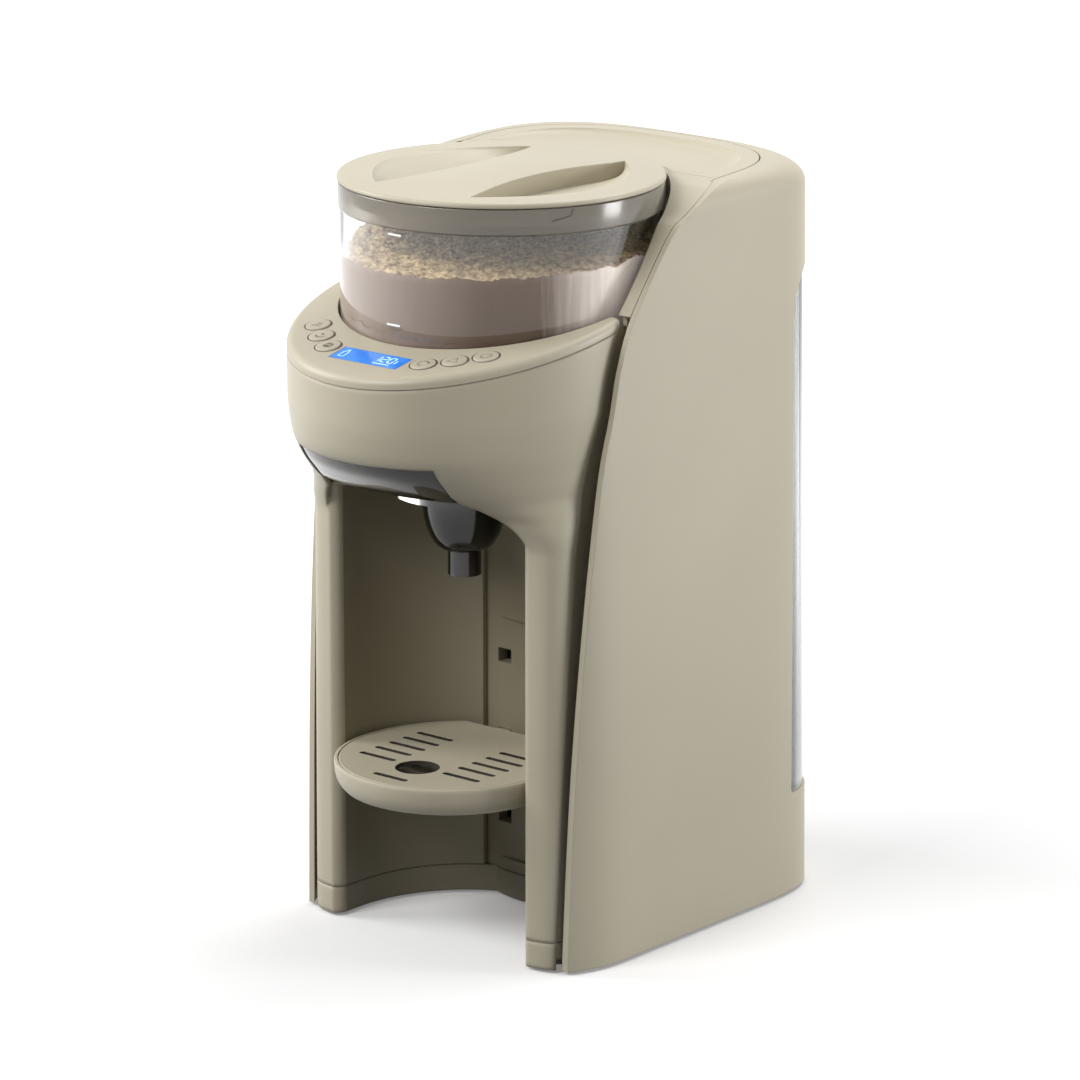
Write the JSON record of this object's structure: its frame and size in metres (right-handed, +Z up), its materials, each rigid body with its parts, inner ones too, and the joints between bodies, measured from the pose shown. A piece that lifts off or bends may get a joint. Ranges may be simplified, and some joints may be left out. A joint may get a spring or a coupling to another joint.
{
  "type": "baby formula maker",
  "caption": "Countertop tower that meters powder from a clear hopper and warm water through a smoke funnel into a bottle, with a sloped key panel, a drip tray and a rear water tank.",
  "frame": {"origin": "centre of the footprint, on the surface that the feet stand on", "axes": "+Z up, -Y towards the front (bottle bay and key panel), +X to the right seen along +Y"},
  "size_m": [0.17, 0.251, 0.3467],
  "materials": {
    "beige_plastic": "satin moulded plastic, warm greige",
    "dark_beige_plastic": "plain moulded plastic",
    "rubber": "matt rubber",
    "steel": "plain steel",
    "display": "lit blue display window",
    "dark_plastic": "plain dark plastic",
    "board": "circuit board",
    "clear_plastic": "clear polished plastic",
    "smoke_plastic": "clear smoke-tinted plastic",
    "silicone": "translucent silicone",
    "white_plastic": "low-friction white plastic"
  },
  "bodies": {
    "housing": {"front_shell": "beige_plastic", "base_trim": "beige_plastic", "side_panel_left": "beige_plastic", "side_panel_right": "beige_plastic", "hopper_collar": "beige_plastic", "bay_back": "beige_plastic", "bay_ceiling": "dark_beige_plastic", "inner_frame": "dark_beige_plastic", "base_plate": "dark_beige_plastic", "foot_1": "rubber", "foot_2": "rubber", "foot_3": "rubber", "foot_4": "rubber", "base_screw_1": "steel", "base_screw_2": "steel", "base_screw_3": "steel", "base_screw_4": "steel", "control_deck": "beige_plastic", "display_window": "display", "display_module": "dark_plastic", "button_board": "board", "dispenser_base": "dark_beige_plastic", "hopper_seat": "dark_beige_plastic", "idler_axle": "steel", "dosing_motor": "steel", "valve_dock": "dark_plastic", "water_pump": "dark_plastic", "water_heater": "steel", "water_nozzle": "white_plastic", "hose_1": "silicone", "hose_2": "silicone", "hose_3": "silicone", "power_supply": "board", "main_board": "board", "power_inlet": "dark_plastic"},
    "hopper": {"hopper_container": "clear_plastic", "scraper": "white_plastic"},
    "hopper_lid": {"hopper_lid": "beige_plastic", "lid_seal": "silicone"},
    "agitator": {"dosing_disc": "white_plastic", "agitator": "white_plastic"},
    "drive": {"drive_shaft": "steel", "drive_gear": "white_plastic"},
    "idler": {"idler_gear": "white_plastic"},
    "pinion": {"motor_pinion": "steel"},
    "tank": {"water_tank": "clear_plastic"},
    "valve": {"tank_valve": "dark_plastic"},
    "tower_lid": {"tower_lid": "beige_plastic"},
    "funnel_drawer": {"funnel": "smoke_plastic", "funnel_cover": "smoke_plastic"},
    "tray": {"drip_tray": "beige_plastic"},
    "grille": {"drip_grille": "beige_plastic"},
    "key_1": {"button_1": "beige_plastic"},
    "key_2": {"button_2": "beige_plastic"},
    "key_3": {"button_3": "beige_plastic"},
    "key_4": {"button_4": "beige_plastic"},
    "key_5": {"button_5": "beige_plastic"},
    "key_6": {"button_6": "beige_plastic"}
  },
  "joints": [
    {"name": "hopper_lift", "type": "slide", "parent": "housing", "child": "hopper", "axis": [0, 0, 1], "range_m": [0, 0.12]},
    {"name": "hopper_lid_lift", "type": "slide", "parent": "hopper", "child": "hopper_lid", "axis": [0, 0, 1], "range_m": [0, 0.04]},
    {"name": "drive_spin", "type": "hinge", "parent": "housing", "child": "drive", "pos_m": [0, -0.0172, 0.2431], "axis": [0, 0, 1], "continuous": true},
    {"name": "idler_spin", "type": "hinge", "parent": "housing", "child": "idler", "pos_m": [0, 0.00655, 0.2431], "axis": [0, 0, 1], "continuous": true},
    {"name": "pinion_spin", "type": "hinge", "parent": "housing", "child": "pinion", "pos_m": [0, 0.021, 0.2431], "axis": [0, 0, 1], "continuous": true},
    {"name": "agitator_spin", "type": "hinge", "parent": "hopper", "child": "agitator", "pos_m": [0, -0.0172, 0.268], "axis": [0, 0, 1], "continuous": true},
    {"name": "tank_slide", "type": "slide", "parent": "housing", "child": "tank", "axis": [0, 1, 0], "range_m": [0, 0.07]},
    {"name": "valve_press", "type": "slide", "parent": "tank", "child": "valve", "axis": [0, 1, 0], "range_m": [0, 0.003], "stiffness_N_per_m": 300},
    {"name": "tower_lid_lift", "type": "slide", "parent": "housing", "child": "tower_lid", "axis": [0, 0, 1], "range_m": [0, 0.06]},
    {"name": "funnel_slide", "type": "slide", "parent": "housing", "child": "funnel_drawer", "axis": [0, -1, 0], "range_m": [0, 0.08]},
    {"name": "tray_slide", "type": "slide", "parent": "housing", "child": "tray", "axis": [0, -1, 0], "range_m": [0, 0.06]},
    {"name": "grille_lift", "type": "slide", "parent": "tray", "child": "grille", "axis": [0, 0, 1], "range_m": [0, 0.03]},
    {"name": "key_1_press", "type": "slide", "parent": "housing", "child": "key_1", "axis": [0, 0.1961, -0.9806], "range_m": [0, 0.001], "stiffness_N_per_m": 400},
    {"name": "key_2_press", "type": "slide", "parent": "housing", "child": "key_2", "axis": [0, 0.1961, -0.9806], "range_m": [0, 0.001], "stiffness_N_per_m": 400},
    {"name": "key_3_press", "type": "slide", "parent": "housing", "child": "key_3", "axis": [0, 0.1961, -0.9806], "range_m": [0, 0.001], "stiffness_N_per_m": 400},
    {"name": "key_4_press", "type": "slide", "parent": "housing", "child": "key_4", "axis": [0, 0.1961, -0.9806], "range_m": [0, 0.001], "stiffness_N_per_m": 400},
    {"name": "key_5_press", "type": "slide", "parent": "housing", "child": "key_5", "axis": [0, 0.1961, -0.9806], "range_m": [0, 0.001], "stiffness_N_per_m": 400},
    {"name": "key_6_press", "type": "slide", "parent": "housing", "child": "key_6", "axis": [0, 0.1961, -0.9806], "range_m": [0, 0.001], "stiffness_N_per_m": 400}
  ],
  "couplings": [
    {"joint": "idler_spin", "follows": "drive_spin", "ratio": -1.5556},
    {"joint": "pinion_spin", "follows": "drive_spin", "ratio": 2.8},
    {"joint": "agitator_spin", "follows": "drive_spin", "ratio": 1}
  ]
}
